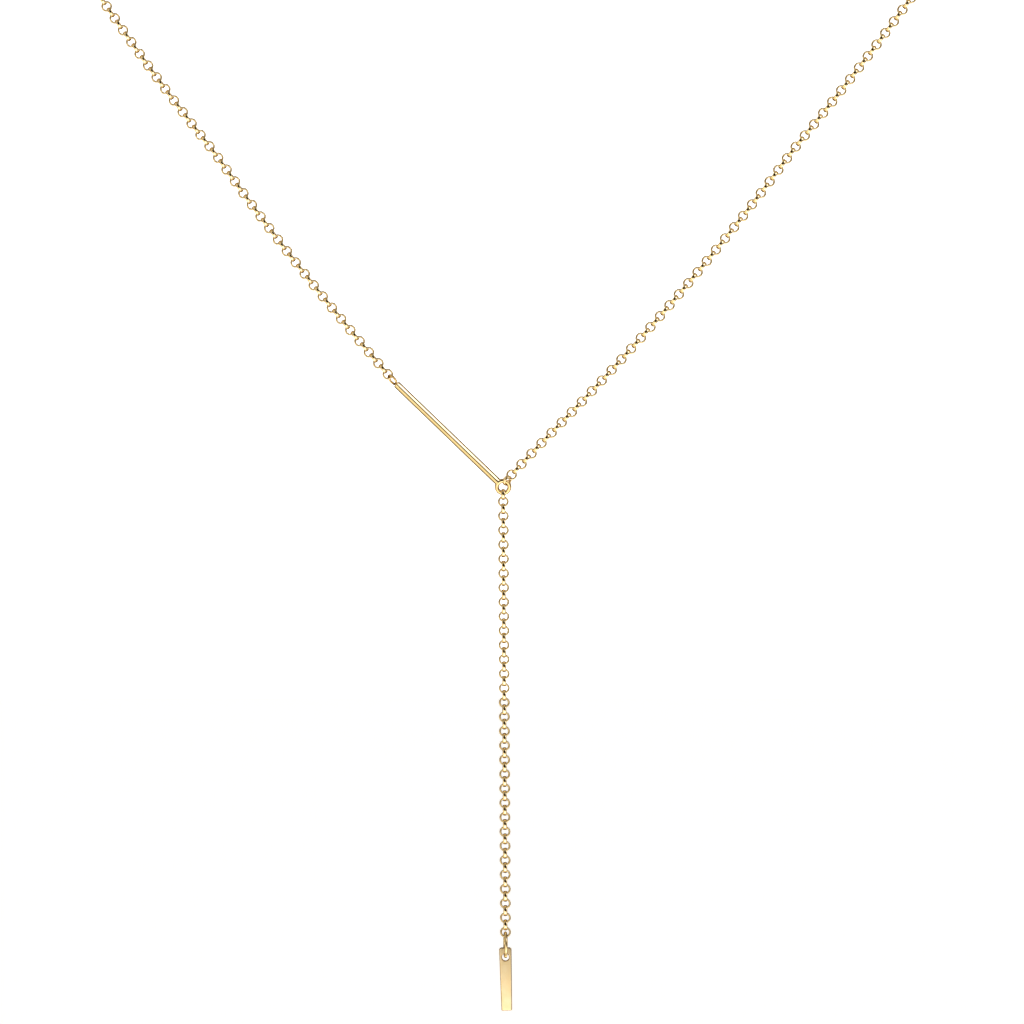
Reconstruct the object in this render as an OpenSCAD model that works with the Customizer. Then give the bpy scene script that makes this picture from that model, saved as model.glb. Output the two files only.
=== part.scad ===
// Y necklace: a loop of round belcher links that meets a straight bar and a small ring, from which
// a chain drop hangs with a slim bar pendant at its end.
// Millimetres, +Z up, the front of the necklace faces -Y.
// The origin is the centre of the neck opening, where the loop passes the sides of the neck.

/* [Loop] */
// Drop from the neck opening's centre to the centre of the Y ring
ring_drop = 96; // [88:1:106]
// Offset of the Y ring from the middle of the neck opening, along X
ring_x = -0.55; // [-3:0.05:3]
// Width of the loop across the sides of the neck
neck_w = 130; // [124:1:140]
// Depth of the loop from the front chains to the nape
neck_depth = 80; // [72:1:100]
// Rise of the nape above the neck opening's centre
nape_rise = 14; // [4:1:28]
// Length of the front left chain, from the bar to the top of the chest
left_front_l = 69; // [60:1:72]
// Length of the front right chain, from the Y ring to the top of the chest
right_front_l = 93; // [84:1:97]
// Length of the drop chain between the Y ring and the pendant's ring
drop_l = 63.5; // [50:0.5:68]
// Lean of the drop chain from straight down, towards +X
drop_lean = 0.3; // [0:0.1:1]

/* [Chain link] */
// Outer diameter of a round link
link_d = 1.5; // [1.45:0.05:1.7]
// Thickness of a link's band, measured along its radius
link_t = 0.175; // [0.15:0.005:0.2]
// Width of a link's band, measured along its axis
link_w = 0.5; // [0.4:0.02:0.54]
// Thickness that is left at the edges of a link's domed band
link_edge = 0.06; // [0.04:0.01:0.1]
// Width of the flat in the middle of each face of a link's domed band
link_flat = 0.2; // [0.1:0.02:0.24]
// Clearance between two neighbouring links of the loop
loop_play = 0.116; // [0.11:0.002:0.14]
// Clearance between two neighbouring links of the drop
drop_play = 0.125; // [0.11:0.005:0.15]

/* [Bar] */
// Length of the square bar from the Y ring to its upper end
bar_l = 20; // [14:0.5:24]
// Side of the bar's square section
bar_side = 0.76; // [0.6:0.02:0.9]
// Radius along the bar's four long edges
bar_edge_r = 0.09; // [0.04:0.01:0.15]
// Slope of the bar from straight up
bar_slope = 46.1; // [40:0.1:50]
// Turn of the bar about its own length, which brings one long edge to the front
bar_roll = 39; // [30:1:60]

/* [Soldered rings] */
// Outer diameter of the Y ring
yring_d = 2.36; // [2.2:0.02:3]
// Wire diameter of the Y ring
yring_wire = 0.56; // [0.4:0.02:0.6]
// Outer diameter of the small ring at the bar's upper end
end_ring_d = 1.8; // [1.75:0.05:2.2]
// Wire diameter of the small ring at the bar's upper end
end_ring_wire = 0.3; // [0.2:0.02:0.34]
// Turn of the small ring away from edge-on
end_ring_turn = 35; // [0:1:38]
// Depth to which a ring sinks into the bar where it is soldered
solder_depth = 0.14; // [0.06:0.01:0.2]
// Radius of the cone of solder that fills the corner between the bar and the Y ring
solder_r = 0.56; // [0.5:0.02:0.7]
// Length of that cone up the bar
solder_l = 0.75; // [0.6:0.05:1.2]

/* [Pendant] */
// Length of the pendant bar
pendant_l = 9.1; // [7:0.1:14]
// Width of the pendant at its top
pendant_top_w = 1.78; // [1.6:0.02:2.4]
// Width of the pendant at its bottom
pendant_bottom_w = 1.52; // [1.4:0.02:2.4]
// Thickness of the pendant
pendant_t = 0.5; // [0.4:0.02:0.6]
// Corner radius at the pendant's top
pendant_top_r = 0.36; // [0.1:0.02:0.6]
// Corner radius at the pendant's bottom
pendant_bottom_r = 0.16; // [0.1:0.02:0.5]
// Diameter of the hole in the pendant
pendant_hole_d = 1; // [0.98:0.01:1.1]
// Distance from the pendant's top edge to the centre of its hole
pendant_hole_in = 1.38; // [1.1:0.02:2]
// Lean of the pendant from straight down, towards +X
pendant_lean = 1.4; // [0:0.1:3]
// Outer diameter of the pendant's jump ring
jump_ring_d = 3.85; // [3.6:0.05:4.6]
// Wire diameter of the pendant's jump ring
jump_ring_wire = 0.52; // [0.4:0.02:0.54]
// Clearance between the jump ring and the middle of the link's band that it hangs on
jump_ring_play = 0.27; // [0.25:0.01:0.3]
// Distance from the centre of the jump ring's wire down to the centre of the pendant's hole
pendant_hang = 0.1; // [0.06:0.01:0.12]

/* [Clasp] */
// Outer diameter of the plain clasp ring
clasp_d = 6; // [5:0.5:9]
// Wire diameter of the plain clasp ring
clasp_wire = 1.1; // [0.8:0.1:1.4]
// Outer diameter of the eye at each side of the clasp
eye_d = 2; // [1.8:0.1:2.6]
// Wire diameter of the eye at each side of the clasp
eye_wire = 0.4; // [0.3:0.02:0.5]

/* [Hidden] */
$fn = 48;
GOLD = [0.86, 0.71, 0.42];
PALE_GOLD = [0.92, 0.79, 0.5];

LEFT_SIGN = -1;
RIGHT_SIGN = 1;

// Slope of each front chain from straight up, in degrees, at shares of its length from its lower
// end. The chain hangs in two shallow curves that meet a third of the way down from the top.
LEFT_SLOPES = [[0, 41], [0.145, 39.5], [0.36, 37.5], [0.55, 35], [0.61, 38.5], [0.957, 34]];
RIGHT_SLOPES = [[0, 29], [0.027, 43], [0.13, 44.5], [0.667, 36.5], [0.71, 39.5], [0.968, 36]];

// Points of the hidden stretch from a front chain round the neck to the nape: the share of the
// loop's half-width, of its depth from the front, and of the climb from the front chain's end to
// the nape. The left side mirrors the right one.
BACK_ROUTE = [[0.98, 0.05, 0.2], [1, 0.2, 0.34], [0.97, 0.45, 0.56], [0.78, 0.77, 0.8], [0.42, 0.96, 0.95]];
TUBE_SIDES = 8;
// Distance between the tube's rings, in link diameters
RING_STEP = 2.5;
// Clearance between the end of a string of links and the tube that carries it on
tube_gap = 0.12;
// Clearance that the corners of a link's band keep from the ring that the link hangs in
corner_play = 0.1;

link_mid_r = (link_d - link_t) / 2;
link_hole_r = link_d / 2 - link_t;

// Distance from the centre of a ring to the centre of a link in its hole, when a corner of the
// link's band, at radius r and half_w to the side, comes to the edge of the hole
function corner_reach(hole_r, r, half_w) =
    r + sqrt(pow(hole_r - corner_play, 2) - pow(half_w, 2));

// Distance from the centre of a ring to the centre of a link pulled out through its hole, which
// the ring's wire crosses at a turn from square: the middle of the link's band, the corners of its
// flat or those of its edges come to the hole first
function link_reach(hole_r, play, turn = 0) = min(
    hole_r + link_hole_r - play,
    corner_reach(hole_r, link_hole_r, link_flat / 2 / cos(turn)),
    corner_reach(hole_r, link_mid_r - link_edge / 2, link_w / 2 / cos(turn))
);

loop_pitch = link_reach(link_hole_r, loop_play);
drop_pitch = link_reach(link_hole_r, drop_play);

front_y = -neck_depth / 2;
ring_centre = [ring_x, front_y, -ring_drop];
yring_mid_r = (yring_d - yring_wire) / 2;
first_link_reach = link_reach(yring_d / 2 - yring_wire, loop_play);

// Direction that leans from straight up to one side by a slope in degrees
function up_dir(slope, side) = [side * sin(slope), 0, cos(slope)];
function unit(v) = v / norm(v);

// Slope of a front chain at a distance s up from its lower end
function slope_at(s, side) = side == LEFT_SIGN
    ? lookup(s / left_front_l, LEFT_SLOPES)
    : lookup(s / right_front_l, RIGHT_SLOPES);

bar_dir = up_dir(bar_slope, LEFT_SIGN);
bar_foot = yring_d / 2 - solder_depth;
bar_top = ring_centre + (yring_d / 2 + bar_l) * bar_dir;
end_ring_mid_r = (end_ring_d - end_ring_wire) / 2;
left_start_dir = up_dir(slope_at(0, LEFT_SIGN), LEFT_SIGN);
end_ring_centre = bar_top + (end_ring_d / 2 - solder_depth / 2) * left_start_dir;
end_ring_reach = link_reach(end_ring_d / 2 - end_ring_wire, loop_play, end_ring_turn);

// Centres of the n links of a front chain, from a first centre that lies a distance s0 up it
function chain_centres(first, s0, side, n) = [
    for (i = 0, p = first; i < n;
        p = p + loop_pitch * up_dir(slope_at(s0 + (i + 0.5) * loop_pitch, side), side), i = i + 1) p
];

left_n = round(left_front_l / loop_pitch);
left_first = end_ring_centre + end_ring_reach * left_start_dir;
left_centres = chain_centres(left_first, 0, LEFT_SIGN, left_n);

right_n = round(right_front_l / loop_pitch);
right_first = ring_centre
    + first_link_reach * up_dir(slope_at(first_link_reach / 2, RIGHT_SIGN), RIGHT_SIGN);
right_centres = chain_centres(right_first, first_link_reach, RIGHT_SIGN, right_n);

// The drop ends on a face-on link, so it has an even number of links
drop_n = 2 * round(drop_l / drop_pitch / 2);
drop_dir = [sin(drop_lean), 0, -cos(drop_lean)];
drop_centres = [
    for (i = [0 : drop_n - 1]) ring_centre + (first_link_reach + i * drop_pitch) * drop_dir
];

// The jump ring turns on the band at the bottom of the drop's last link
last_band = drop_centres[drop_n - 1] - [0, 0, link_mid_r];
jump_ring_mid_r = (jump_ring_d - jump_ring_wire) / 2;
jump_ring_centre = last_band + [0, 0, jump_ring_play - (jump_ring_d / 2 - jump_ring_wire)];
pendant_pivot = jump_ring_centre - [0, 0, jump_ring_mid_r];

clasp_mid_r = (clasp_d - clasp_wire) / 2;
eye_mid_r = (eye_d - eye_wire) / 2;
eye_x = clasp_d / 2 + eye_d / 2 - eye_wire / 2;
clasp_centre = [0, neck_depth / 2, nape_rise];

function route_points(side, start_z) = [
    for (p = BACK_ROUTE)
        [side * p[0] * neck_w / 2, front_y + p[1] * neck_depth, start_z + p[2] * (nape_rise - start_z)]
];

// Point on the cubic that leaves a with slope u and reaches b with slope v
function hermite(a, u, b, v, t) =
    (2 * pow(t, 3) - 3 * pow(t, 2) + 1) * a + (pow(t, 3) - 2 * pow(t, 2) + t) * u
    + (3 * pow(t, 2) - 2 * pow(t, 3)) * b + (pow(t, 3) - pow(t, 2)) * v;

// Slope of the curve at each point of a route, with a given direction at both ends
function route_slopes(pts, first_dir, last_dir) = [
    for (i = [0 : len(pts) - 1])
        i == 0 ? first_dir * norm(pts[1] - pts[0])
        : i == len(pts) - 1 ? last_dir * norm(pts[i] - pts[i - 1])
        : (pts[i + 1] - pts[i - 1]) / 2
];

// Smooth curve through a route's points
function smooth_route(pts, first_dir, last_dir) =
    let (slopes = route_slopes(pts, first_dir, last_dir), last = len(pts) - 1)
    [
        for (i = [0 : last - 1])
            let (steps = max(2, round(norm(pts[i + 1] - pts[i]) / (RING_STEP * link_d))))
            for (k = [0 : steps - 1])
                hermite(pts[i], slopes[i], pts[i + 1], slopes[i + 1], k / steps),
        pts[last]
    ];

// Domed band: each face has a flat in the middle and falls away from it to the thin edges
module band_section() {
    polygon([
        [link_t / 2, -link_flat / 2], [link_t / 2, link_flat / 2],
        [link_edge / 2, link_w / 2], [-link_edge / 2, link_w / 2],
        [-link_t / 2, link_flat / 2], [-link_t / 2, -link_flat / 2],
        [-link_edge / 2, -link_w / 2], [link_edge / 2, -link_w / 2]
    ]);
}

// One round link, lying flat about the Z axis
module link() {
    rotate_extrude() translate([link_mid_r, 0]) band_section();
}

// Round ring of round wire, lying flat about the Z axis
module wire_ring(mid_r, wire) {
    rotate_extrude() translate([mid_r, 0]) circle(d = wire);
}

// A link on a chain that leans by a slope to one side, seen full face or edge-on from the front
module placed_link(centre, slope, side, full_face) {
    translate(centre) rotate([0, side * slope, 0])
        rotate(full_face ? [90, 0, 0] : [0, 90, 0]) link();
}

module front_chain(centres, s0, side, first_full_face) {
    for (i = [0 : len(centres) - 1])
        placed_link(centres[i], slope_at(s0 + i * loop_pitch, side), side,
            (i % 2 == 0) == first_full_face);
}

// Tube swept along a smooth curve
module tube(curve) {
    last = len(curve) - 1;
    rings = [
        for (i = [0 : last])
            let (
                ahead = unit(curve[min(i + 1, last)] - curve[max(i - 1, 0)]),
                across = unit(cross(ahead, [0, 0, 1])),
                over = cross(across, ahead)
            )
            for (k = [0 : TUBE_SIDES - 1])
                let (a = 360 * (k + 0.5) / TUBE_SIDES)
                curve[i] + link_d / 2 * (cos(a) * across + sin(a) * over)
    ];
    sides = [
        for (i = [0 : last - 1], k = [0 : TUBE_SIDES - 1])
            let (a = i * TUBE_SIDES + k, b = i * TUBE_SIDES + (k + 1) % TUBE_SIDES)
            [a, a + TUBE_SIDES, b + TUBE_SIDES, b]
    ];
    near_end = [[for (k = [0 : TUBE_SIDES - 1]) k]];
    far_end = [[for (k = [TUBE_SIDES - 1 : -1 : 0]) last * TUBE_SIDES + k]];
    polyhedron(points = rings, faces = concat(sides, near_end, far_end), convexity = 4);
}

// Hidden stretch of the chain, from the end of a front chain to the eye of the clasp
module back_chain(centres, s0, side) {
    n = len(centres);
    leave = up_dir(slope_at(s0 + (n - 1) * loop_pitch, side), side);
    start = centres[n - 1] + (link_d / 2 + tube_gap) * leave;
    finish = clasp_centre + [side * (eye_x + eye_d / 2 + tube_gap), 0, 0];
    points = concat([start], route_points(side, start[2]), [finish]);
    tube(smooth_route(points, leave, [-side, 0, 0]));
}

// Outline round a list of circles [x, y, radius] given counter-clockwise
module round_outline(circles) {
    n = len(circles);
    polygon([
        for (i = [0 : n - 1])
            let (
                a = circles[i],
                b = circles[(i + 1) % n],
                gap = [b[0] - a[0], b[1] - a[1]],
                out = atan2(gap[1], gap[0]) - acos((a[2] - b[2]) / norm(gap))
            )
            for (c = [a, b]) [c[0] + c[2] * cos(out), c[1] + c[2] * sin(out)]
    ]);
    for (c = circles) translate([c[0], c[1]]) circle(r = c[2]);
}

module square_bar(length) {
    c = bar_side / 2 - bar_edge_r;
    linear_extrude(length) round_outline([
        [c, c, bar_edge_r], [-c, c, bar_edge_r], [-c, -c, bar_edge_r], [c, -c, bar_edge_r]
    ]);
}

// Bar with the Y ring soldered to its foot and the small ring to its top
module bar_connector() {
    color(GOLD) {
        translate(ring_centre) {
            rotate([90, 0, 0]) wire_ring(yring_mid_r, yring_wire);
            rotate([0, LEFT_SIGN * bar_slope, 0]) {
                translate([0, 0, bar_foot]) rotate([0, 0, bar_roll]) square_bar(bar_l + solder_depth);
                translate([0, 0, yring_mid_r])
                    cylinder(h = solder_l, r1 = solder_r, r2 = bar_side / 2 - bar_edge_r);
            }
        }
        translate(end_ring_centre) rotate([0, LEFT_SIGN * slope_at(0, LEFT_SIGN), 0])
            rotate([0, 90, end_ring_turn]) wire_ring(end_ring_mid_r, end_ring_wire);
    }
}

module left_chain_front() {
    color(GOLD) front_chain(left_centres, 0, LEFT_SIGN, true);
}

module right_chain_front() {
    color(GOLD) front_chain(right_centres, first_link_reach, RIGHT_SIGN, false);
}

module drop_chain() {
    color(GOLD)
        for (i = [0 : drop_n - 1])
            placed_link(drop_centres[i], drop_lean, LEFT_SIGN, i % 2 == 1);
}

module left_chain_back() {
    color(GOLD) back_chain(left_centres, 0, LEFT_SIGN);
}

module right_chain_back() {
    color(GOLD) back_chain(right_centres, first_link_reach, RIGHT_SIGN);
}

// Plain closed ring with an eye at each side, which joins the two ends of the loop at the nape
module clasp() {
    color(GOLD) translate(clasp_centre) rotate([90, 0, 0]) {
        wire_ring(clasp_mid_r, clasp_wire);
        for (side = [LEFT_SIGN, RIGHT_SIGN])
            translate([side * eye_x, 0, 0]) wire_ring(eye_mid_r, eye_wire);
    }
}

module pendant_ring() {
    color(GOLD) translate(jump_ring_centre) rotate([0, 90, 0])
        wire_ring(jump_ring_mid_r, jump_ring_wire);
}

// Slim bar, a little narrower at its foot, drilled for the jump ring
module pendant() {
    top_x = pendant_top_w / 2 - pendant_top_r;
    foot_x = pendant_bottom_w / 2 - pendant_bottom_r;
    top_z = pendant_hole_in - pendant_top_r;
    foot_z = pendant_hole_in - pendant_l + pendant_bottom_r;
    color(PALE_GOLD) translate(pendant_pivot) rotate([90, -pendant_lean, 0])
        translate([0, -pendant_hang, 0]) difference() {
            linear_extrude(pendant_t, center = true) round_outline([
                [top_x, top_z, pendant_top_r], [-top_x, top_z, pendant_top_r],
                [-foot_x, foot_z, pendant_bottom_r], [foot_x, foot_z, pendant_bottom_r]
            ]);
            cylinder(h = 2 * pendant_t, d = pendant_hole_d, center = true);
        }
}

bar_connector();
left_chain_front();
right_chain_front();
drop_chain();
left_chain_back();
right_chain_back();
clasp();
pendant_ring();
pendant();
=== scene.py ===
# %% [markdown]
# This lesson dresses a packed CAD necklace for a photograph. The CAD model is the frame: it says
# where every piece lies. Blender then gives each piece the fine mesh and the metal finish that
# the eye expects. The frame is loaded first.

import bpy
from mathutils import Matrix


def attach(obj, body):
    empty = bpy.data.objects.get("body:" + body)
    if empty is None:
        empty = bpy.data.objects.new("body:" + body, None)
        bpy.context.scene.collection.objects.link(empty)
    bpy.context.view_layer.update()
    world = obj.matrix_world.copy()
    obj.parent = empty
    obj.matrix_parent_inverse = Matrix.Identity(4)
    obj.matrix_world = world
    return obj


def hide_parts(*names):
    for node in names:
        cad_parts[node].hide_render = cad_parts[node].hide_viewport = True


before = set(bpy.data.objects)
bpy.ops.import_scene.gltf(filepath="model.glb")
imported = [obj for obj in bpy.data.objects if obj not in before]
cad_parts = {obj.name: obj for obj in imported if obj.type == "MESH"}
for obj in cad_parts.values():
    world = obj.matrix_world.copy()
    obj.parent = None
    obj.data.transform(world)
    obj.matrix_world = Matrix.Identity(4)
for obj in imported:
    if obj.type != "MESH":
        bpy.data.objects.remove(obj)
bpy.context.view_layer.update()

# %% [markdown]
# The CAD source works in millimetres and Blender in metres. All sizes below are written in
# millimetres, as a jeweller would say them, and one factor turns a finished mesh into metres.
# NumPy moves whole arrays of points at once, which a chain of hundreds of links needs.

# %% Tools and units
import math
import random

import bpy
import numpy as np
from mathutils import Vector
from mathutils.geometry import delaunay_2d_cdt

MM = 0.001
X, Y, Z = np.eye(3)
LEFT, RIGHT = -1, 1


def unit(v):
    """The vector made one unit long."""
    return v / np.linalg.norm(v)


def up_dir(slope, side):
    """The direction that leans from straight up to one side, by a slope in degrees."""
    a = math.radians(slope)
    return np.array([side * math.sin(a), 0, math.cos(a)])


print("straight up:", up_dir(0, LEFT))

# %% [markdown]
# Every mesh in this lesson is a grid of points: rows round a ring or along a bar, columns round
# its section. Such a grid could be drawn with Blender's curves and a bevel, but a grid of our own
# keeps quads even and lets the rows follow any path. One helper turns a grid into faces, and one
# turns points and faces into an object that rides on a body of the frame.

# %% Grids and pieces
def grid_faces(rows, cols, close_rows, close_cols):
    """Quads of a grid of points, which may close on itself in either direction."""
    r = np.arange(rows if close_rows else rows - 1)
    c = np.arange(cols if close_cols else cols - 1)
    r, c = (x.ravel() for x in np.meshgrid(r, c, indexing="ij"))
    r2, c2 = (r + 1) % rows, (c + 1) % cols
    return np.stack([r * cols + c, r * cols + c2, r2 * cols + c2, r2 * cols + c], axis=1)


def make_piece(
    name, points, faces, body, replaced=(), slot="polished_gold", sharp_deg=None, marks=None
):
    """A smooth-shaded object from points in millimetres, riding on a body of the frame.

    The marks are one number a point, which a finish can read by the name "rim".
    """
    mesh = bpy.data.meshes.new(name)
    mesh.from_pydata((np.asarray(points) * MM).tolist(), [], [tuple(f) for f in faces])
    mesh.validate()
    mesh.shade_smooth()
    if sharp_deg:
        mesh.set_sharp_from_angle(angle=math.radians(sharp_deg))
    if marks is not None:
        mesh.attributes.new("rim", "FLOAT", "POINT").data.foreach_set("value", marks)
    piece = bpy.data.objects.new(name, mesh)
    bpy.context.scene.collection.objects.link(piece)
    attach(piece, body)
    if replaced:
        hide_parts(*replaced)
    print(name, len(mesh.vertices), "points", len(mesh.polygons), "faces")
    return piece


def join_parts(parts):
    """One list of points and faces from several."""
    points, faces, start = [], [], 0
    for p, f in parts:
        points.append(p)
        faces += [tuple(int(i) + start for i in face) for face in f]
        start += len(p)
    return np.concatenate(points), faces


print("quads in a closed grid of 4 by 3:", len(grid_faces(4, 3, True, True)))

# %% [markdown]
# The necklace hangs in the plane of its front chains. The camera looks straight at that plane from
# in front, level with the middle of the picture. A long lens from well back keeps the round links
# round. The lens follows from the width of the picture at the necklace.

# %% Camera
FRONT_Y = -40.0
CAMERA_BACK = 900.0
PICTURE_W = 146.286
PICTURE_CENTRE = (0.714, -99.586)
SENSOR_W = 36.0
CLIP_NEAR, CLIP_FAR = 0.01, 50

camera = bpy.data.objects.new("camera", bpy.data.cameras.new("camera"))
bpy.context.scene.collection.objects.link(camera)
camera.location = [v * MM for v in (PICTURE_CENTRE[0], FRONT_Y - CAMERA_BACK, PICTURE_CENTRE[1])]
camera.rotation_euler = (math.pi / 2, 0, 0)
camera.data.sensor_width = SENSOR_W
camera.data.lens = SENSOR_W * CAMERA_BACK / PICTURE_W
camera.data.clip_start, camera.data.clip_end = CLIP_NEAR, CLIP_FAR
bpy.context.scene.camera = camera
print("lens", round(camera.data.lens, 1), "mm")

# %% [markdown]
# A belcher link is a round ring of oval wire. It is made here by turning the wire's section round
# the link's axis. A torus primitive only knows a round section, so the oval is drawn as points: a
# superellipse, whose power makes it rounder or squarer. The wire is a little fuller than the one
# in CAD, so that neighbours touch as they do in a real chain that hangs under its own weight.

# %% One link
LINK_T, LINK_W, LINK_MID_R = 0.30, 0.56, 0.64
LINK_TURNS, SECTION_COLS, SECTION_POWER = 40, 16, 2.6


def superellipse(half_w, half_h, power, cols):
    """Points round an oval that grows squarer with its power, anticlockwise."""
    a = np.linspace(0, 2 * math.pi, cols, endpoint=False)
    c, s = np.cos(a), np.sin(a)
    r = (np.abs(c) ** power + np.abs(s) ** power) ** (-1 / power)
    return np.stack([half_w * r * c, half_h * r * s], axis=1)


def turned(section, turns):
    """A section of (radius, height) turned once round the Z axis."""
    a = np.linspace(0, 2 * math.pi, turns, endpoint=False)
    points = np.stack(
        [
            np.outer(np.cos(a), section[:, 0]),
            np.outer(np.sin(a), section[:, 0]),
            np.tile(section[:, 1], (turns, 1)),
        ],
        axis=2,
    ).reshape(-1, 3)
    return points, grid_faces(turns, len(section), True, True)


link_points, link_faces = turned(
    superellipse(LINK_T / 2, LINK_W / 2, SECTION_POWER, SECTION_COLS) + [LINK_MID_R, 0], LINK_TURNS
)
print("a link has", 2 * len(link_faces), "triangles")

# %% [markdown]
# Links stand square to each other along the chain: one is seen full face, the next edge-on. A
# frame of three directions says how a link lies: the chain's own direction, and the axis that the
# link turns about. Each link also gets a tiny turn of its own from a seeded random source, because
# no two links of a real chain catch the light quite alike.

# %% A string of links
dice = random.Random(7)
LINK_JITTER = 1.6


def turn_about(axis, degrees):
    """Rotation matrix about a unit axis."""
    a = math.radians(degrees)
    k = np.array([[0, -axis[2], axis[1]], [axis[2], 0, -axis[0]], [-axis[1], axis[0], 0]])
    return np.eye(3) + math.sin(a) * k + (1 - math.cos(a)) * (k @ k)


def link_frame(ahead, axis):
    """Matrix that lays a link, flat about Z, with its axis along one direction."""
    axis = unit(axis - ahead * (axis @ ahead))
    return np.stack([ahead, np.cross(axis, ahead), axis], axis=1)


print("a link along X with its axis up:", link_frame(X, Z).tolist())


def string_of_links(places):
    """One mesh of links from a list of (centre, direction ahead, axis)."""
    parts = []
    for centre, ahead, axis in places:
        lie = turn_about(ahead, dice.uniform(-LINK_JITTER, LINK_JITTER)) @ link_frame(ahead, axis)
        parts.append((link_points @ lie.T + centre, link_faces))
    return join_parts(parts)


# %% [markdown]
# The front chains hang in two shallow curves each. Their route is the one in the CAD source: a
# table of slopes at shares of the chain's length, up from the lower end.

# %% Route of the front chains
LEFT_FRONT_L, RIGHT_FRONT_L = 69.0, 93.0
SLOPES = {
    LEFT: [[0, 41], [0.145, 39.5], [0.36, 37.5], [0.55, 35], [0.61, 38.5], [0.957, 34]],
    RIGHT: [[0, 29], [0.027, 43], [0.13, 44.5], [0.667, 36.5], [0.71, 39.5], [0.968, 36]],
}
FRONT_L = {LEFT: LEFT_FRONT_L, RIGHT: RIGHT_FRONT_L}


def slope_at(s, side):
    """Slope from straight up, in degrees, at a length along a front chain."""
    table = SLOPES[side]
    return np.interp(s / FRONT_L[side], [row[0] for row in table], [row[1] for row in table])


print("slopes at the foot:", [round(float(slope_at(0, side)), 1) for side in (LEFT, RIGHT)])

# %% [markdown]
# A link's centre lies one pitch on from the last. The pitch follows from how far a link of the CAD
# model can be pulled out through its neighbour before the two come too close: band against band,
# or the corner of one band against the edge of the other's hole. The same reach says how far a link
# lies from the centre of any ring that it hangs in.

# %% Reach of a link
LINK_D = 1.5
CAD_LINK_T, CAD_LINK_W, CAD_LINK_EDGE, CAD_LINK_FLAT = 0.175, 0.5, 0.06, 0.2
CORNER_PLAY, LOOP_PLAY, DROP_PLAY = 0.1, 0.116, 0.125
cad_mid_r = (LINK_D - CAD_LINK_T) / 2
cad_hole_r = LINK_D / 2 - CAD_LINK_T


def corner_reach(hole_r, r, half_w):
    """Reach at which a band's corner, at radius r, comes near the edge of the hole."""
    return r + math.sqrt((hole_r - CORNER_PLAY) ** 2 - half_w**2)


def link_reach(hole_r, play, turn=0.0):
    """How far a link's centre can lie from the centre of the ring that it hangs in."""
    c = math.cos(math.radians(turn))
    return min(
        hole_r + cad_hole_r - play,
        corner_reach(hole_r, cad_hole_r, CAD_LINK_FLAT / 2 / c),
        corner_reach(hole_r, cad_mid_r - CAD_LINK_EDGE / 2, CAD_LINK_W / 2 / c),
    )


loop_pitch, drop_pitch = link_reach(cad_hole_r, LOOP_PLAY), link_reach(cad_hole_r, DROP_PLAY)
print("pitch of the loop", round(loop_pitch, 4), "and of the drop", round(drop_pitch, 4))

# %% [markdown]
# Everything hangs from the centre of the Y ring. The bar rises to the left of it, with a small ring
# on its top, and the links follow from there. The first link of the right chain is turned about the
# chain, so that it lies in front of the ring and shows its side, as it does in the photograph.

# %% Places of the rings
RING_DROP, RING_X = 96.0, -0.55
BAR_L, BAR_SLOPE, BAR_ROLL = 20.0, 46.1, 39.0
YRING_D, YRING_WIRE = 2.36, 0.56
END_RING_D, END_RING_WIRE, END_RING_TURN = 1.8, 0.3, 35.0
SOLDER_DEPTH = 0.14
ring_centre = np.array([RING_X, FRONT_Y, -RING_DROP])
first_reach = link_reach(YRING_D / 2 - YRING_WIRE, LOOP_PLAY)
bar_dir = up_dir(BAR_SLOPE, LEFT)
bar_top = ring_centre + (YRING_D / 2 + BAR_L) * bar_dir
left_start_dir = up_dir(slope_at(0, LEFT), LEFT)
end_ring_centre = bar_top + (END_RING_D / 2 - SOLDER_DEPTH / 2) * left_start_dir
end_ring_reach = link_reach(END_RING_D / 2 - END_RING_WIRE, LOOP_PLAY, END_RING_TURN)
print("Y ring at", ring_centre.round(2).tolist(), "and bar's top at", bar_top.round(2).tolist())

# %% Places of the links
DROP_L, DROP_LEAN = 63.5, 0.3
FIRST_LINK_TURN = -36.0


def front_places(first, s0, side, first_full_face):
    """Places of a front chain's links, from its first link's centre."""
    places, p = [], first
    for i in range(round(FRONT_L[side] / loop_pitch)):
        ahead = up_dir(slope_at(s0 + i * loop_pitch, side), side)
        full_face = (i % 2 == 0) == first_full_face
        axis = -Y if full_face else np.cross(ahead, -Y)
        places.append((p, ahead, axis))
        p = p + loop_pitch * up_dir(slope_at(s0 + (i + 0.5) * loop_pitch, side), side)
    return places


left_first = end_ring_centre + end_ring_reach * left_start_dir
left_places = front_places(left_first, 0, LEFT, True)
right_first = ring_centre + first_reach * up_dir(slope_at(first_reach / 2, RIGHT), RIGHT)
right_places = front_places(right_first, first_reach, RIGHT, False)
centre, ahead, axis = right_places[0]
right_places[0] = (centre, ahead, turn_about(ahead, FIRST_LINK_TURN) @ axis)

drop_n = 2 * round(DROP_L / drop_pitch / 2)
lean = math.radians(DROP_LEAN)
drop_dir = np.array([math.sin(lean), 0, -math.cos(lean)])
drop_places = [
    (ring_centre + (first_reach + i * drop_pitch) * drop_dir, -drop_dir, -Y if i % 2 else X)
    for i in range(drop_n)
]
print(len(left_places), "left,", len(right_places), "right and", drop_n, "drop links")

# %% Front chains
left_front = make_piece(
    "left_front_links", *string_of_links(left_places), "necklace", ["left_chain_front"]
)
right_front = make_piece(
    "right_front_links", *string_of_links(right_places), "necklace", ["right_chain_front"]
)
drop = make_piece("drop_links", *string_of_links(drop_places), "necklace", ["drop_chain"])

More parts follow.
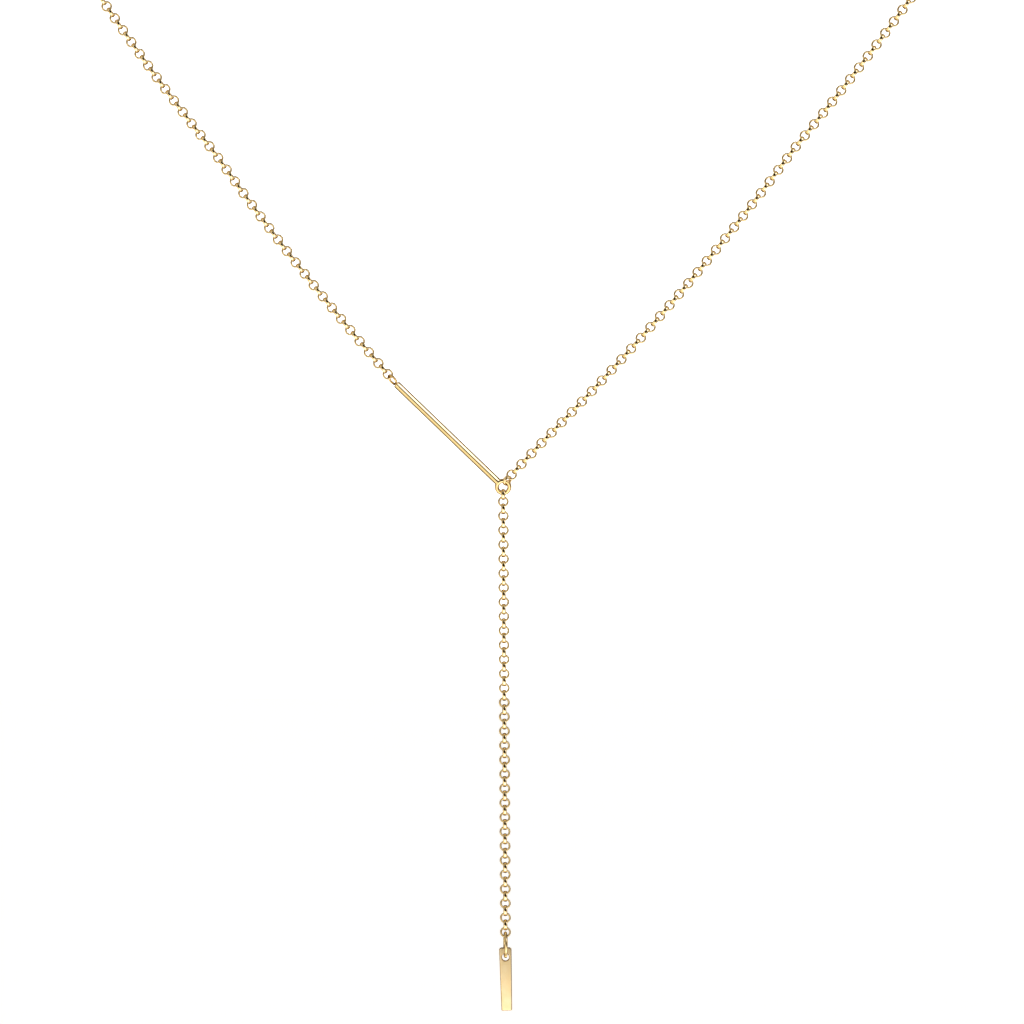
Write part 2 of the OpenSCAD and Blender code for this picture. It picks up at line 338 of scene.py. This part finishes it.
# %% [markdown]
# Behind the neck the CAD model carries the chain as a plain tube. Here the same route gets real
# links. The route is a smooth cubic through a few points, walked in equal steps. A frame carried
# along the curve without twisting keeps neighbours square to each other, and a slow extra twist
# brings the last link square to the eye of the clasp.

# %% Route round the neck
NECK_W, NECK_DEPTH, NAPE_RISE = 130.0, 80.0, 14.0
CLASP_D, CLASP_WIRE, EYE_D, EYE_WIRE = 6.0, 1.1, 2.0, 0.4
TUBE_GAP = 0.12
CURVE_STEPS = 240
BACK_ROUTE = [
    # shares of the half width, of the depth and of the rise to the nape
    [0.98, 0.05, 0.2],
    [1, 0.2, 0.34],
    [0.97, 0.45, 0.56],
    [0.78, 0.77, 0.8],
    [0.42, 0.96, 0.95],
]
clasp_centre = np.array([0, NECK_DEPTH / 2, NAPE_RISE])
eye_x = CLASP_D / 2 + EYE_D / 2 - EYE_WIRE / 2


def smooth_curve(points, first_dir, last_dir):
    """Dense points on the cubic through a route's points, with given directions at its ends."""
    pts = np.array(points)
    slopes = [first_dir * np.linalg.norm(pts[1] - pts[0])]
    slopes += [(pts[i + 1] - pts[i - 1]) / 2 for i in range(1, len(pts) - 1)]
    slopes.append(last_dir * np.linalg.norm(pts[-1] - pts[-2]))
    t = np.linspace(0, 1, CURVE_STEPS, endpoint=False)[:, None]
    out = [
        (2 * t**3 - 3 * t**2 + 1) * pts[i]
        + (t**3 - 2 * t**2 + t) * slopes[i]
        + (3 * t**2 - 2 * t**3) * pts[i + 1]
        + (t**3 - t**2) * slopes[i + 1]
        for i in range(len(pts) - 1)
    ]
    return np.concatenate([*out, pts[-1:]])


def back_places(front, side):
    """Places of the links from the end of a front chain to the clasp's eye."""
    centre, leave, axis = front[-1]
    start = centre + (LINK_D / 2 + TUBE_GAP) * leave
    eye = clasp_centre + [side * eye_x, 0, 0]
    finish = eye + [side * (EYE_D / 2 + TUBE_GAP), 0, 0]
    route = [
        [side * w * NECK_W / 2, FRONT_Y + d * NECK_DEPTH, start[2] + up * (NAPE_RISE - start[2])]
        for w, d, up in BACK_ROUTE
    ]
    arrive = np.array([-side, 0.0, 0.0])
    curve = smooth_curve([start, *route, finish], leave, arrive)
    last = eye - link_reach(EYE_D / 2 - EYE_WIRE, LOOP_PLAY) * arrive
    line = np.concatenate([[centre], curve, [last]])
    along = np.concatenate([[0], np.cumsum(np.linalg.norm(np.diff(line, axis=0), axis=1))])
    n = round(along[-1] / loop_pitch)
    s = np.linspace(0, along[-1], n + 1)
    centres = np.stack([np.interp(s, along, line[:, k]) for k in range(3)], axis=1)
    ahead = np.gradient(centres, axis=0)
    ahead /= np.linalg.norm(ahead, axis=1)[:, None]
    carried = [axis]
    for i in range(1, n + 1):
        carried.append(unit(carried[-1] - ahead[i] * (carried[-1] @ ahead[i])))
    wanted = Z if n % 2 == 0 else Y
    here = carried[-1]
    twist = math.degrees(math.atan2(np.cross(here, wanted) @ ahead[-1], here @ wanted))
    twist -= 180 * round(twist / 180)
    places = []
    for i in range(1, n + 1):
        a = turn_about(ahead[i], twist * i / n) @ carried[i]
        places.append((centres[i], ahead[i], np.cross(ahead[i], a) if i % 2 else a))
    print(n, "links, pitch", round(along[-1] / n, 4), "and twist a link", round(twist / n, 2))
    return places


# %% Back chains
left_back = make_piece(
    "left_back_links", *string_of_links(back_places(left_places, LEFT)), "necklace",
    ["left_chain_back"],
)
right_back = make_piece(
    "right_back_links", *string_of_links(back_places(right_places, RIGHT)), "necklace",
    ["right_chain_back"],
)

# %% [markdown]
# The connector is a square bar with softened edges and flat-cut ends. A ring is soldered to each
# end. The bar is a loft: the same section repeated along its length. A superellipse of a high
# power is a square whose faces are polished very slightly round, which is what bends a reflection
# towards the edges. At the foot the solder runs up the bar, so the lowest sections swell into a
# round collar that meets the ring.

# %% Connector bar
BAR_HALF, BAR_POWER, BAR_COLS, BAR_ROWS, BAR_BEVEL = 0.46, 3.3, 96, 40, 0.1
SOLDER_R, SOLDER_L, SOLDER_ROWS, SOLDER_FALL = 0.5, 0.85, 12, 2.2
TOP_ROWS, EDGE_SHARP = 5, 40


def capped_loft(sections):
    """Points and faces of a closed loft with a flat cap at each end."""
    rows, cols = len(sections), len(sections[0])
    faces = [tuple(f) for f in grid_faces(rows, cols, False, True)]
    faces.append(tuple(range(cols))[::-1])
    faces.append(tuple((rows - 1) * cols + k for k in range(cols)))
    return np.concatenate(sections), [f[::-1] for f in faces]


def bar_sections():
    """Sections up the bar: the solder's collar, the plain length and the softened top edge."""
    square = superellipse(BAR_HALF, BAR_HALF, BAR_POWER, BAR_COLS)
    foot = YRING_D / 2 - YRING_WIRE / 2
    round_r = np.linalg.norm(square, axis=1)
    sections = []
    for t in np.linspace(0, 1, SOLDER_ROWS):
        swell = (1 - t) ** SOLDER_FALL
        section = square * (1 + swell * (SOLDER_R / round_r - 1))[:, None]
        sections.append((section, foot + t * SOLDER_L))
    top = YRING_D / 2 + BAR_L
    for z in np.linspace(foot + SOLDER_L, top - BAR_BEVEL, BAR_ROWS)[1:]:
        sections.append((square, z))
    for a in np.linspace(0, math.pi / 2, TOP_ROWS)[1:]:
        shrink = 1 - BAR_BEVEL / BAR_HALF * (1 - math.cos(a))
        sections.append((square * shrink, top - BAR_BEVEL * (1 - math.sin(a))))
    return [np.column_stack([s, np.full(len(s), z)]) for s, z in sections]


bar_lie = turn_about(Y, LEFT * BAR_SLOPE) @ turn_about(Z, BAR_ROLL)
bar_points, bar_faces = capped_loft(bar_sections())
bar = make_piece(
    "connector_bar", bar_points @ bar_lie.T + ring_centre, bar_faces, "necklace",
    ["bar_connector"], sharp_deg=EDGE_SHARP,
)

# %% [markdown]
# Three pieces meet in the Y ring. Its round wire is heavy, and the ring looks down a little, so
# that it catches the white table below. The small ring at the bar's upper end shows mostly its
# side, as it was soldered on. Both sink slightly into the bar, and a bead of solder sits under the
# small one.

# %% Soldered rings
RING_TURNS, WIRE_COLS = 72, 24
YRING_WIRE_R, YRING_TILT = 0.31, 14.0
END_WIRE_R, END_RING_SEEN, BEAD_R = 0.18, 26.0, 0.3


def round_section(mid_r, wire_r):
    """Points (radius, height) round a ring's wire."""
    a = np.linspace(0, 2 * math.pi, WIRE_COLS, endpoint=False)
    return np.stack([mid_r + wire_r * np.cos(a), wire_r * np.sin(a)], axis=1)


flat_to_front = turn_about(X, 90)
yring_mid_r = (YRING_D - YRING_WIRE) / 2
yring_points, ring_faces = turned(round_section(yring_mid_r, YRING_WIRE_R), RING_TURNS)
yring_lie = turn_about(X, YRING_TILT) @ flat_to_front
yring = make_piece(
    "y_ring", yring_points @ yring_lie.T + ring_centre, ring_faces, "necklace",
    ["bar_connector"],
)
end_mid_r = (END_RING_D - END_RING_WIRE) / 2
end_points, ring_faces = turned(round_section(end_mid_r, END_WIRE_R), RING_TURNS)
end_lie = (
    turn_about(Y, LEFT * slope_at(0, LEFT)) @ turn_about(Z, END_RING_SEEN) @ turn_about(Y, 90)
)
bead_points, bead_faces = turned(round_section(BEAD_R / 2, BEAD_R / 2), RING_TURNS)
end_parts = [
    (end_points @ end_lie.T + end_ring_centre, ring_faces),
    (bead_points @ bar_lie.T + bar_top, bead_faces),
]
end_ring = make_piece("bar_end_ring", *join_parts(end_parts), "necklace", ["bar_connector"])

# %% [markdown]
# The clasp is kept plain: a closed ring with an eye at each side, out of sight at the nape.

# %% Clasp
clasp_parts = []
for d, wire, x in [(CLASP_D, CLASP_WIRE, 0), (EYE_D, EYE_WIRE, -eye_x), (EYE_D, EYE_WIRE, eye_x)]:
    points, faces = turned(round_section((d - wire) / 2, wire / 2), RING_TURNS)
    clasp_parts.append((points @ flat_to_front.T + clasp_centre + [x, 0, 0], faces))
clasp = make_piece("clasp_ring", *join_parts(clasp_parts), "necklace", ["clasp"])

# %% [markdown]
# The jump ring carries the pendant. It is bent from wire and closed, and the fine line where its
# ends meet can be seen from behind. So its grid stays open: it stops a hair short of a full turn,
# and a cap closes each end. It hangs turned by a few degrees, so both its sides show from in front.
# Its wire is thin enough to clear the chain's last links when the ring swings.

# %% Jump ring
JUMP_RING_D, JUMP_RING_WIRE, JUMP_RING_PLAY = 3.85, 0.52, 0.27
SEAM_DEG, SEAM_TURN, JUMP_RING_YAW, JUMP_WIRE_R = 0.9, 30, 3.5, 0.23
CAP_SHARP = 50
last_band = drop_places[-1][0] - cad_mid_r * Z
jump_centre = last_band + (JUMP_RING_PLAY - (JUMP_RING_D / 2 - JUMP_RING_WIRE)) * Z
jump_mid_r = (JUMP_RING_D - JUMP_RING_WIRE) / 2
pendant_pivot = jump_centre - jump_mid_r * Z


def open_ring(mid_r, wire_r, seam_deg):
    """A wire ring about Z with a narrow seam at angle 0."""
    section = round_section(mid_r, wire_r)
    half = math.radians(seam_deg / 2)
    sections = []
    for a in np.linspace(half, 2 * math.pi - half, RING_TURNS):
        r = section[:, 0]
        sections.append(np.stack([r * math.cos(a), r * math.sin(a), section[:, 1]], axis=1))
    return capped_loft(sections)


jump_points, jump_faces = open_ring(jump_mid_r, JUMP_WIRE_R, SEAM_DEG)
# The ring's axis is X and its seam faces back
axis_to_side = np.stack([Y, Z, X], axis=1)
jump_lie = turn_about(Z, JUMP_RING_YAW) @ turn_about(X, SEAM_TURN) @ axis_to_side
jump_ring = make_piece(
    "pendant_jump_ring", jump_points @ jump_lie.T + jump_centre, jump_faces, "jump_ring",
    ["pendant_ring"], sharp_deg=CAP_SHARP,
)

# %% [markdown]
# The pendant is a slim satin bar, drilled near its top. Its outline is drawn round four circles,
# so an inset outline only needs smaller circles.

# %% Pendant outline
PENDANT_L, PENDANT_TOP_W, PENDANT_BOTTOM_W, PENDANT_T = 9.1, 1.78, 1.52, 0.5
PENDANT_TOP_R, PENDANT_BOTTOM_R = 0.36, 0.16
PENDANT_HOLE_D, PENDANT_HOLE_IN, PENDANT_HANG, PENDANT_LEAN = 1.0, 1.38, 0.1, 1.4
ARC_COLS, HOLE_COLS, SIDE_STEP = 8, 48, 0.16


def pendant_outline(inset):
    """Points round the pendant, anticlockwise, with the hole's centre at the origin."""
    top_x, foot_x = PENDANT_TOP_W / 2 - PENDANT_TOP_R, PENDANT_BOTTOM_W / 2 - PENDANT_BOTTOM_R
    top_z = PENDANT_HOLE_IN - PENDANT_TOP_R
    foot_z = PENDANT_HOLE_IN - PENDANT_L + PENDANT_BOTTOM_R
    circles = [
        (top_x, top_z, PENDANT_TOP_R, 0), (-top_x, top_z, PENDANT_TOP_R, 90),
        (-foot_x, foot_z, PENDANT_BOTTOM_R, 180), (foot_x, foot_z, PENDANT_BOTTOM_R, 270),
    ]
    corners = []
    for x, z, r, start in circles:
        for a in np.radians(start + np.linspace(0, 90, ARC_COLS)):
            corners.append([x + (r - inset) * math.cos(a), z + (r - inset) * math.sin(a)])
    out = []
    for p, q in zip(np.array(corners), np.array(corners[1:] + corners[:1])):
        steps = max(1, round(np.linalg.norm(q - p) / SIDE_STEP))
        out += [p + (q - p) * k / steps for k in range(steps)]
    return np.array(out)


def hole_outline(inset):
    """Points round the hole, made wider by the inset."""
    a = np.linspace(0, 2 * math.pi, HOLE_COLS, endpoint=False)
    return (PENDANT_HOLE_D / 2 + inset) * np.stack([np.cos(a), np.sin(a)], axis=1)


print("outline points:", len(pendant_outline(0)))

# %% [markdown]
# Layers of inset outlines make the bevelled rim, for the outline and for the hole alike. The two
# faces are filled with small triangles between the rim and the hole, which a Delaunay fill makes.
# They are raised in a very shallow crown, as hand finishing leaves it.

# %% Pendant rim and faces
BEVEL_W, BEVEL_DEPTH, HOLE_BEVEL, PENDANT_CROWN = 0.155, 0.12, 0.14, 0.03
BEVEL_LAYERS, FACE_STEP = 9, 0.13
FACE_CLEAR = 0.6 * FACE_STEP
INSIDE_ONLY, FILL_NEAR, IN_HOLE = 1, 1e-7, 0.98


def crown(points):
    """How far a face stands back at each point: nothing in the middle, most at the ends."""
    mid_z = PENDANT_HOLE_IN - PENDANT_L / 2
    along = np.clip(1 - ((points[:, 1] - mid_z) / (PENDANT_L / 2)) ** 2, 0, 1)
    return PENDANT_CROWN * (along - 1)


def rim(outline_of, width, depth):
    """Rows of points from the front face round the side to the back face."""
    rows = []
    for a in np.linspace(0, math.pi / 2, BEVEL_LAYERS):
        flat = outline_of(width * (1 - math.sin(a)))
        y = PENDANT_T / 2 - depth * (1 - math.cos(a)) + crown(flat)
        rows.append(np.column_stack([flat[:, 0], -y, flat[:, 1]]))
    rows += [row * [1, -1, 1] for row in rows[::-1]]
    return np.concatenate(rows), grid_faces(len(rows), len(rows[0]), False, True)


def face_fill():
    """Triangles between the inset outline and the inset hole, as (points, faces)."""
    outer, hole = pendant_outline(BEVEL_W), hole_outline(HOLE_BEVEL)
    lo, hi = outer.min(0) + FACE_STEP / 2, outer.max(0) - FACE_STEP / 2
    xs, zs = np.arange(lo[0], hi[0], FACE_STEP), np.arange(lo[1], hi[1], FACE_STEP)
    inner = np.array([(x, z) for x in xs for z in zs])
    from_edge = np.min(np.linalg.norm(inner[:, None] - outer[None], axis=2), axis=1)
    from_hole = np.linalg.norm(inner, axis=1) - PENDANT_HOLE_D / 2 - HOLE_BEVEL
    clear = (from_edge > FACE_CLEAR) & (from_hole > FACE_CLEAR)
    points = np.concatenate([outer, hole, inner[clear]])
    n, m = len(outer), len(hole)
    loops = [list(range(n)), list(range(n + m - 1, n - 1, -1))]
    corners = [tuple(map(float, p)) for p in points]
    made = delaunay_2d_cdt(corners, [], loops, INSIDE_ONLY, FILL_NEAR)
    flat, faces = np.array([tuple(v) for v in made[0]]), made[2]
    centres = np.array([flat[list(f)].mean(0) for f in faces])
    keep = np.linalg.norm(centres, axis=1) > PENDANT_HOLE_D / 2 + HOLE_BEVEL * IN_HOLE
    return flat, [tuple(f) for f, k in zip(faces, keep) if k]


flat, triangles = face_fill()
print("triangles of a face:", len(triangles))

# %% [markdown]
# The parts are joined and then shaped as one: the bar bows by a tenth of a millimetre and hangs
# leaning back a little at its foot. Each point is marked as rim or face, because the rim keeps its
# polish while the face is brushed, and the rim gets a darker tone as painted shade.

# %% Pendant
PENDANT_BOW, PENDANT_TILT = 0.12, 4.0
front = np.column_stack([flat[:, 0], -(PENDANT_T / 2 + crown(flat)), flat[:, 1]])
outer_rim, outer_faces = rim(pendant_outline, BEVEL_W, BEVEL_DEPTH)
hole_rim, hole_faces = rim(hole_outline, HOLE_BEVEL, HOLE_BEVEL)
pendant_parts = [
    (front, triangles),
    (front * [1, -1, 1], [f[::-1] for f in triangles]),
    (outer_rim, outer_faces),
    (hole_rim, [tuple(f[::-1]) for f in hole_faces]),
]
pendant_points, pendant_faces = join_parts(pendant_parts)
rim_marks = np.zeros(len(pendant_points), dtype=np.float32)
rim_marks[2 * len(front) :] = 1
# The first two and the last two rows of a rim belong to the faces
for start, outline in [(0, outer_rim), (len(outer_rim), hole_rim)]:
    cols = len(outline) // (2 * BEVEL_LAYERS)
    face_rows = [*range(2 * cols), *range(len(outline) - 2 * cols, len(outline))]
    rim_marks[2 * len(front) + start + np.array(face_rows)] = 0
from_middle = (pendant_points[:, 2] - PENDANT_HOLE_IN) / (PENDANT_L / 2) + 1
pendant_points[:, 1] += PENDANT_BOW * from_middle**2
pendant_lie = turn_about(Y, -PENDANT_LEAN) @ turn_about(X, PENDANT_TILT)
pendant_points = (pendant_points - PENDANT_HANG * Z) @ pendant_lie.T
pendant = make_piece(
    "pendant_bar", pendant_points + pendant_pivot, pendant_faces, "pendant", ["pendant"],
    slot="satin_gold", marks=rim_marks,
)

# %% [markdown]
# The finishes are built from nodes. Writing node trees by hand is slow to read, so a small class
# stands for one output socket, and arithmetic on it adds Math nodes.

# %% Arithmetic on sockets
class Field:
    """One output socket, which arithmetic turns into Math nodes."""

    def __init__(self, recipe, socket):
        self.recipe, self.socket = recipe, socket

    def math(self, operation, first, second):
        return self.recipe.node(
            "ShaderNodeMath", {"operation": operation}, {0: first, 1: second}
        )

    def __add__(self, other):
        return self.math("ADD", self, other)

    def __sub__(self, other):
        return self.math("SUBTRACT", self, other)

    def __rsub__(self, other):
        return self.math("SUBTRACT", other, self)

    def __mul__(self, other):
        return self.math("MULTIPLY", self, other)

    __radd__, __rmul__ = __add__, __mul__


print("a field knows +, - and *")

# %% [markdown]
# A second class is the node tree of one finish, and one method of it makes any node. What varies
# goes only into colour, roughness and bump. Numbers that stay the same are set on the shader's own
# sockets.

# %% Recipe of nodes
class Recipe:
    """The node tree of one finish, or of the studio's surroundings."""

    def __init__(self, owner):
        owner.use_nodes = True
        self.owner, self.tree = owner, owner.node_tree
        self.tree.nodes.clear()

    def node(self, kind, settings=None, inputs=None, output=0):
        """Any node: its settings first, then the values or links of its sockets."""
        made = self.tree.nodes.new(kind)
        for key, value in (settings or {}).items():
            setattr(made, key, value)
        for key, value in (inputs or {}).items():
            if isinstance(value, Field):
                self.tree.links.new(value.socket, made.inputs[key])
            else:
                made.inputs[key].default_value = value
        return Field(self, made.outputs[output]) if len(made.outputs) else made

    def blend(self, share, first, second):
        """A colour between two, by a share from 0 to 1."""
        return self.node(
            "ShaderNodeMix", {"data_type": "RGBA"}, {0: share, 6: first, 7: second}, output=2
        )

    def step(self, value, low, high):
        """A soft step from 0 at low to 1 at high."""
        return self.node(
            "ShaderNodeMapRange",
            {"interpolation_type": "SMOOTHSTEP"},
            {"Value": value, "From Min": low, "From Max": high},
        )


print("a recipe can", [name for name in vars(Recipe) if not name.startswith("_")])

# %% [markdown]
# Polished gold is a mirror that is never quite perfect. Its colour comes from the metal, so the
# shader is fully metallic. A slow noise shifts the tone and the roughness a little, and a finer,
# stretched noise lays the hair-thin polishing lines that break up a reflection. A rim mark makes a
# polished edge smoother and paints it a deeper tone, as painted shade for the dark reflection at an
# edge.

# %% Recipe of gold
SLOW_SCALE, FINE_SCALE, FINE_DETAIL = 0.9, 6.0, 4.0
SLOW_SHARE, FINE_SHARE = 0.4, 0.6
TONE_LOW, TONE_HIGH = 0.3, 0.7
LINE_HEIGHT = 0.02 * MM


def place_in_mm(recipe, stretch):
    """The place on the object in millimetres, stretched along each axis."""
    here = recipe.node("ShaderNodeTexCoord", output=3)
    return recipe.node(
        "ShaderNodeVectorMath", {"operation": "MULTIPLY"},
        {0: here, 1: tuple(k / MM for k in stretch)},
    )


def noise(recipe, where, scale, detail=2.0):
    """A soft noise between about 0.3 and 0.7."""
    return recipe.node(
        "ShaderNodeTexNoise", None, {"Vector": where, "Scale": scale, "Detail": detail}
    )


def gold(name, deep, pale, rough, rough_spread, line_stretch, line_bump, rim=None):
    """A gold finish between a deep and a pale tone, with fine lines along one axis.

    The rim is how much smoother marked points are, and their darker tone, which is painted shade.
    """
    recipe = Recipe(bpy.data.materials.new(name))
    slow = noise(recipe, place_in_mm(recipe, (1, 1, 1)), SLOW_SCALE)
    fine = noise(recipe, place_in_mm(recipe, line_stretch), FINE_SCALE, FINE_DETAIL)
    tone = recipe.blend(recipe.step(slow, TONE_LOW, TONE_HIGH), deep, pale)
    roughness = rough + rough_spread * (fine * FINE_SHARE + slow * SLOW_SHARE)
    if rim:
        shine, rim_painted_shade = rim
        on_rim = recipe.node("ShaderNodeAttribute", {"attribute_name": "rim"}, output=2)
        roughness = roughness - shine * on_rim
        # Marked rim points get a darker tone: painted shade for the dark reflection at an edge
        tone = recipe.blend(on_rim, tone, rim_painted_shade)
    bump = recipe.node(
        "ShaderNodeBump", None, {"Strength": line_bump, "Distance": LINE_HEIGHT, "Height": fine}
    )
    shader = recipe.node(
        "ShaderNodeBsdfPrincipled", None,
        {"Base Color": tone, "Metallic": 1.0, "Roughness": roughness, "Normal": bump},
    )
    recipe.node("ShaderNodeOutputMaterial", None, {"Surface": shader})
    return recipe.owner


print("polishing lines are", round(LINE_HEIGHT / MM, 3), "mm high")

# %% [markdown]
# The same recipe gives three finishes: polished chain and bar, a deeper tone on the soldered
# rings as painted shade that darkens their edges, and the brushed face of the pendant, whose
# lines run along it and whose paler tone is painted light.

# %% Three finishes
polished = gold(
    "polished_gold", (0.85, 0.68, 0.39, 1), (0.90, 0.75, 0.46, 1), 0.03, 0.04, (1, 1, 1), 0.1
)
# Paler tones than the polished gold: painted light that brightens the pendant
satin = gold(
    "satin_gold", (0.96, 0.765, 0.44, 1), (0.99, 0.82, 0.515, 1), 0.37, 0.06, (6, 6, 0.12), 0.12,
    # The rim's deep tone is painted shade for the dark reflection at the pendant's edge
    rim=(0.3, (0.46, 0.32, 0.15, 1)),
)
# A darker copy of the polished gold: painted shade that deepens the rings' edges
ring_gold_painted_shade = gold(
    "shaded_ring_gold", (0.70, 0.50, 0.24, 1), (0.76, 0.57, 0.29, 1), 0.03, 0.05, (1, 1, 1), 0.15
)
for piece in [left_front, right_front, drop, left_back, right_back, bar, clasp, jump_ring]:
    piece.data.materials.append(polished)
for piece in [yring, end_ring]:
    piece.data.materials.append(ring_gold_painted_shade)
pendant.data.materials.append(satin)

# %% [markdown]
# Gold shows what surrounds it, so the surroundings are most of the look. A jewellery photograph is
# made in a tent with bright panels and a dark opening for the camera. The tent's inside is drawn by
# direction, as soft round panels: a white table below, white panels to the upper right and beside
# the lens, a warm one to the lower left, dim ones above, behind and at the sides, which draw a
# brown edge round each piece, and a dark one just above the lens. A later panel covers an earlier.

# %% Surroundings
def direction(azimuth, elevation):
    """Unit vector: azimuth 0 points at the camera and grows to the right."""
    a, e = math.radians(azimuth), math.radians(elevation)
    return (math.sin(a) * math.cos(e), -math.cos(a) * math.cos(e), math.sin(e))


def panel(recipe, here, azimuth, elevation, half_angle, softness):
    """Mask of a round panel of the tent, 1 inside it."""
    facing = recipe.node(
        "ShaderNodeVectorMath", {"operation": "DOT_PRODUCT"},
        {0: here, 1: direction(azimuth, elevation)}, output=1,
    )
    outer = math.cos(math.radians(half_angle + softness))
    inner = math.cos(math.radians(max(half_angle - softness, 0)))
    return recipe.step(facing, outer, inner)


TENT = (0.77, 0.68, 0.54, 1)
PANELS = [
    # azimuth, elevation, half angle, softness, colour
    (180, 0, 50, 11, (0.10, 0.065, 0.03, 1)),
    (0, 85, 30, 12, (0.34, 0.28, 0.19, 1)),
    (-108, 12, 23, 7, (0.18, 0.12, 0.06, 1)),
    (-143, -32, 30, 6, (0.14, 0.09, 0.04, 1)),
    (-65, -43, 28, 5, (1.25, 1.12, 0.76, 1)),
    (115, 43, 27, 4, (0.11, 0.07, 0.03, 1)),
    (56, 40, 14, 4, (2.4, 2.4, 2.6, 1)),
    (12, -46, 28, 8, (2.0, 1.9, 1.75, 1)),
    (12, -56, 16, 5, (2.8, 2.7, 2.7, 1)),
    (60, -5, 18, 8, (0.06, 0.045, 0.03, 1)),
    (-30, -8, 13, 6, (2.1, 1.95, 1.65, 1)),
    (0, 22, 32, 6, (0.008, 0.006, 0.003, 1)),
]
world = bpy.data.worlds.new("tent")
bpy.context.scene.world = world
tent = Recipe(world)
here = tent.node("ShaderNodeTexCoord", output=0)
colour = TENT
for azimuth, elevation, half_angle, softness, panel_colour in PANELS:
    mask = panel(tent, here, azimuth, elevation, half_angle, softness)
    colour = tent.blend(mask, colour, panel_colour)
glow = tent.node("ShaderNodeBackground", None, {"Color": colour, "Strength": 1.0})
tent.node("ShaderNodeOutputWorld", None, {"Surface": glow})
print("panels in the tent:", len(PANELS))

# %% [markdown]
# A photographer often holds one more white card low in front, for the piece that has to shine most.
# Here a round area light does it. Light linking lets it light only the pendant and the Y ring, so
# that the chain keeps its contrast. It adds a pale sheen towards the pendant's foot.

# %% Low card
CARD_R, CARD_AWAY, CARD_WATTS = 0.17, 0.6, 0.12
CARD_AZIMUTH, CARD_ELEVATION = -6, -31
lit_by_card = bpy.data.collections.new("lit_by_card")
for piece in (pendant, yring):
    lit_by_card.objects.link(piece)
card = bpy.data.lights.new("low_card", "AREA")
card.shape, card.size, card.energy = "DISK", 2 * CARD_R, CARD_WATTS
lamp = bpy.data.objects.new("low_card", card)
bpy.context.scene.collection.objects.link(lamp)
towards_card = Vector(direction(CARD_AZIMUTH, CARD_ELEVATION))
lamp.location = Vector(pendant_pivot * MM) + CARD_AWAY * towards_card
lamp.rotation_euler = (-towards_card).to_track_quat("-Z", "Y").to_euler()
lamp.light_linking.receiver_collection = lit_by_card
lamp.visible_camera = False
print("card at", [round(v, 3) for v in lamp.location])

# %% [markdown]
# The photograph's ground is plain white. A large white ball stands round everything and a pale
# floor lies below. Only the camera sees them, so they give a clean ground and change no reflection.

# %% Background and floor
WHITE, MATT, MATT_ROUGH = (1, 1, 1, 1), (0.8, 0.8, 0.8, 1), 0.9
FLOOR_Z, ROOM_R, FLOOR_SHARE = -0.30, 6.0, 0.98
ROOM_STEPS, FLOOR_POINTS = 5, 96
ROOM_GLOW, FLOOR_GLOW = 1.2, 0.75


def glowing(name, strength):
    """A matt white that glows a little by itself."""
    recipe = Recipe(bpy.data.materials.new(name))
    shader = recipe.node(
        "ShaderNodeBsdfPrincipled", None,
        {"Base Color": MATT, "Roughness": MATT_ROUGH, "Emission Color": WHITE,
         "Emission Strength": strength},
    )
    recipe.node("ShaderNodeOutputMaterial", None, {"Surface": shader})
    return recipe.owner


def camera_only(obj):
    """Seen by the camera alone, so that it adds nothing to the gold."""
    obj.visible_glossy = obj.visible_diffuse = obj.visible_transmission = False
    obj.visible_shadow = False


bpy.ops.mesh.primitive_ico_sphere_add(subdivisions=ROOM_STEPS, radius=ROOM_R)
room = bpy.context.object
room.name = "white_room"
room.data.materials.append(glowing("white_room", ROOM_GLOW))
bpy.ops.mesh.primitive_circle_add(
    vertices=FLOOR_POINTS, radius=ROOM_R * FLOOR_SHARE, fill_type="NGON"
)
floor = bpy.context.object
floor.name, floor.location.z = "pale_floor", FLOOR_Z
floor.data.materials.append(glowing("pale_floor", FLOOR_GLOW))
for obj in (room, floor):
    camera_only(obj)
bpy.context.scene.view_settings.view_transform = "Standard"
print("floor", round(-FLOOR_Z / MM), "mm below the neck")

# %% [markdown]
# The dressed model has to stay inside the box of the CAD model.
